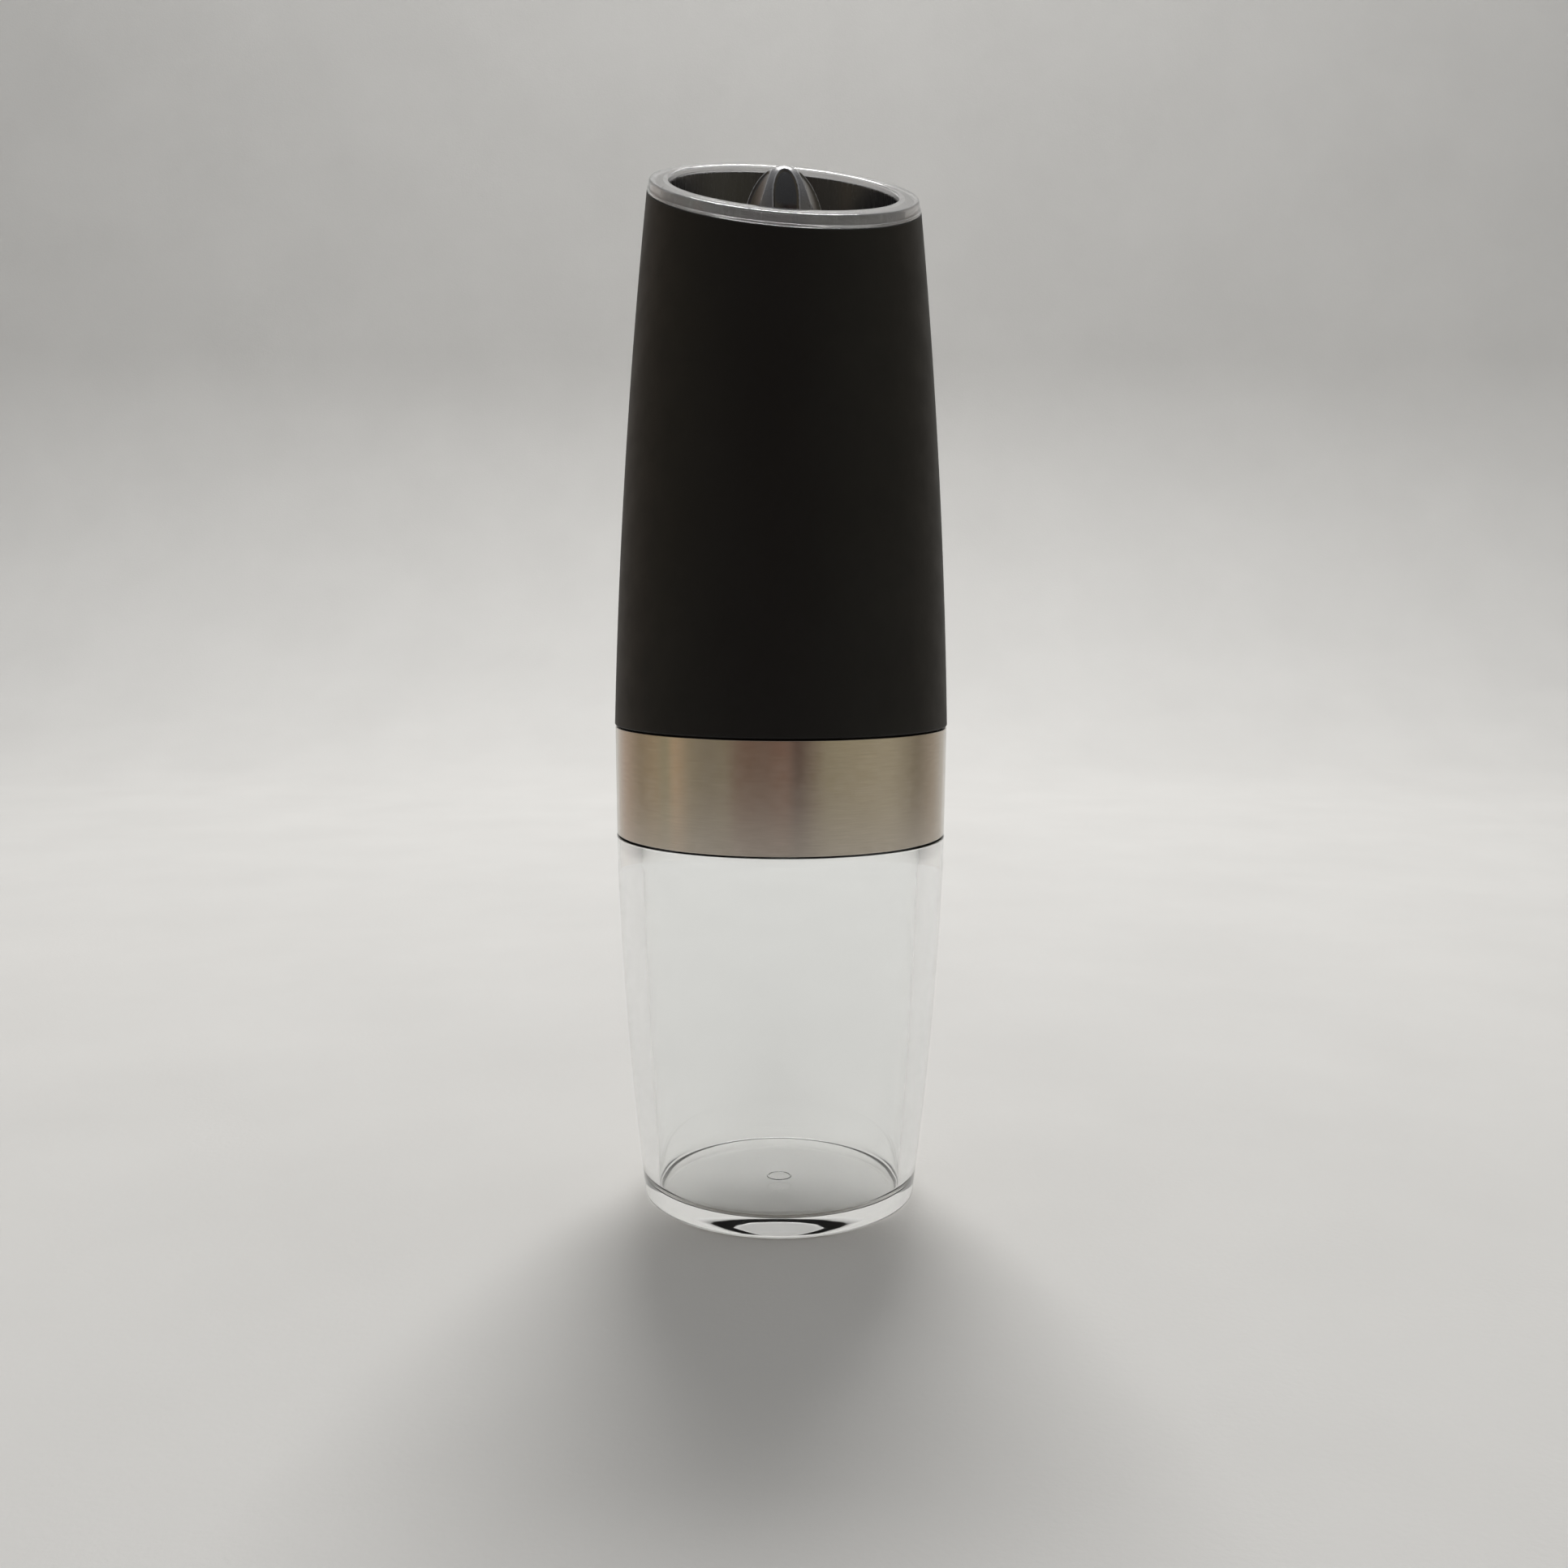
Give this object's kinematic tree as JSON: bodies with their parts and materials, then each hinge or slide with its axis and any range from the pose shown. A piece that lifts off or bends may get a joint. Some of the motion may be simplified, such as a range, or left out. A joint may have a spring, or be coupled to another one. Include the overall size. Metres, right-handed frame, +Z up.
{
  "type": "pepper mill",
  "caption": "Gravity pepper mill with a clear jar, a steel band, a tapering black housing, and a slanted clear-rimmed outlet round a grind-setting knob.",
  "frame": {"origin": "centre of the jar's underside, on the surface that the mill stands on", "axes": "+Z up along the mill's axis; the slanted outlet's low side faces -Y, turned slightly to +X"},
  "size_m": [0.065, 0.065, 0.2068],
  "materials": {
    "clear_jar": "gloss",
    "soft_black": "matte",
    "black_plastic": "satin",
    "recess_grey": "satin",
    "smoked_knob": "gloss",
    "brushed_band": "brushed",
    "zinc": "satin",
    "brass": "satin",
    "copper": "satin",
    "rubber": "matte",
    "acetal": "satin",
    "ceramic": "satin",
    "cell_wrapper": "gloss",
    "circuit_board": "satin",
    "lamp": "gloss"
  },
  "bodies": {
    "jar": {"jar": "clear_jar"},
    "jar_ring": {"jar_seal": "rubber"},
    "core": {"jar_collar": "black_plastic", "steel_band": "brushed_band", "battery_frame": "black_plastic", "battery_1": "cell_wrapper", "battery_2": "cell_wrapper", "battery_3": "cell_wrapper", "battery_4": "cell_wrapper", "battery_5": "cell_wrapper", "battery_6": "cell_wrapper", "lower_contact_1": "brass", "lower_contact_2": "brass", "positive_terminal": "brass", "negative_terminal": "brass", "upper_contact_1": "brass", "upper_contact_2": "brass", "upper_contact_3": "brass", "control_board": "circuit_board", "tilt_switch_can": "zinc", "tilt_switch_base": "black_plastic", "motor_can": "zinc", "motor_end_cap": "black_plastic", "motor_magnet_1": "rubber", "motor_magnet_2": "rubber", "motor_brush_1": "copper", "motor_brush_2": "copper", "gearbox_housing": "acetal", "gearbox_cap": "acetal", "frame_deck": "black_plastic", "frame_screw_1": "zinc", "frame_screw_2": "zinc", "frame_screw_3": "zinc", "funnel": "black_plastic", "outer_burr": "ceramic", "burr_retainer": "black_plastic", "led_board": "circuit_board", "led_1": "lamp", "led_2": "lamp", "led_3": "lamp"},
    "tilt_ball": {"tilt_ball": "zinc"},
    "armature": {"motor_armature": "copper", "sun_gear": "brass"},
    "first_carrier": {"first_carrier": "acetal"},
    "first_planet_1": {"first_planet_1": "acetal"},
    "first_planet_2": {"first_planet_2": "acetal"},
    "first_planet_3": {"first_planet_3": "acetal"},
    "output": {"output_shaft": "zinc", "feed_screw": "black_plastic", "burr_spring": "zinc"},
    "second_planet_1": {"second_planet_1": "acetal"},
    "second_planet_2": {"second_planet_2": "acetal"},
    "second_planet_3": {"second_planet_3": "acetal"},
    "inner_burr": {"inner_burr": "ceramic"},
    "grind_knob": {"grind_knob": "smoked_knob"},
    "sleeve_ring": {"sleeve_seal": "rubber"},
    "sleeve": {"housing_sleeve": "soft_black", "outlet_cup": "recess_grey", "rim_ring": "clear_jar"}
  },
  "joints": [
    {"name": "jar_twist", "type": "hinge", "parent": "jar", "child": "jar_ring", "pos_m": [0, 0, 0.087], "axis": [0, 0, 1], "range_deg": [0, 35]},
    {"name": "jar_lift", "type": "slide", "parent": "jar_ring", "child": "core", "axis": [0, 0, 1], "range_m": [0, 0.06]},
    {"name": "sleeve_twist", "type": "hinge", "parent": "core", "child": "sleeve_ring", "pos_m": [0, 0, 0.1], "axis": [0, 0, 1], "range_deg": [0, 30]},
    {"name": "sleeve_lift", "type": "slide", "parent": "sleeve_ring", "child": "sleeve", "axis": [0, 0, 1], "range_m": [0, 0.12]},
    {"name": "tilt_roll", "type": "slide", "parent": "core", "child": "tilt_ball", "axis": [0, 0, 1], "range_m": [0, 0.002]},
    {"name": "motor_spin", "type": "hinge", "parent": "core", "child": "armature", "pos_m": [0, 0, 0.118], "axis": [0, 0, 1], "continuous": true},
    {"name": "first_stage_spin", "type": "hinge", "parent": "core", "child": "first_carrier", "pos_m": [0, 0, 0.138], "axis": [0, 0, 1], "continuous": true},
    {"name": "mill_spin", "type": "hinge", "parent": "core", "child": "output", "pos_m": [0, 0, 0.145], "axis": [0, 0, 1], "continuous": true},
    {"name": "burr_gap", "type": "slide", "parent": "output", "child": "inner_burr", "axis": [0, 0, 1], "range_m": [0, 0.0012]},
    {"name": "knob_turn", "type": "hinge", "parent": "inner_burr", "child": "grind_knob", "pos_m": [0, 0, 0.18], "axis": [0, 0, 1], "range_deg": [0, 540]},
    {"name": "first_planet_1_spin", "type": "hinge", "parent": "first_carrier", "child": "first_planet_1", "pos_m": [0.00675, 0, 0.1347], "axis": [0, 0, 1], "continuous": true},
    {"name": "second_planet_1_spin", "type": "hinge", "parent": "output", "child": "second_planet_1", "pos_m": [0.00675, 0, 0.1413], "axis": [0, 0, 1], "continuous": true},
    {"name": "first_planet_2_spin", "type": "hinge", "parent": "first_carrier", "child": "first_planet_2", "pos_m": [-0.00337, 0.00585, 0.1347], "axis": [0, 0, 1], "continuous": true},
    {"name": "second_planet_2_spin", "type": "hinge", "parent": "output", "child": "second_planet_2", "pos_m": [-0.00337, 0.00585, 0.1413], "axis": [0, 0, 1], "continuous": true},
    {"name": "first_planet_3_spin", "type": "hinge", "parent": "first_carrier", "child": "first_planet_3", "pos_m": [-0.00337, -0.00585, 0.1347], "axis": [0, 0, 1], "continuous": true},
    {"name": "second_planet_3_spin", "type": "hinge", "parent": "output", "child": "second_planet_3", "pos_m": [-0.00337, -0.00585, 0.1413], "axis": [0, 0, 1], "continuous": true}
  ],
  "couplings": [
    {"joint": "first_stage_spin", "follows": "motor_spin", "ratio": 0.22222},
    {"joint": "mill_spin", "follows": "motor_spin", "ratio": 0.049383},
    {"joint": "knob_turn", "follows": "burr_gap", "rad_per_m": 7854},
    {"joint": "first_planet_1_spin", "follows": "motor_spin", "ratio": -0.62222},
    {"joint": "second_planet_1_spin", "follows": "motor_spin", "ratio": -0.13827},
    {"joint": "first_planet_2_spin", "follows": "motor_spin", "ratio": -0.62222},
    {"joint": "second_planet_2_spin", "follows": "motor_spin", "ratio": -0.13827},
    {"joint": "first_planet_3_spin", "follows": "motor_spin", "ratio": -0.62222},
    {"joint": "second_planet_3_spin", "follows": "motor_spin", "ratio": -0.13827}
  ]
}
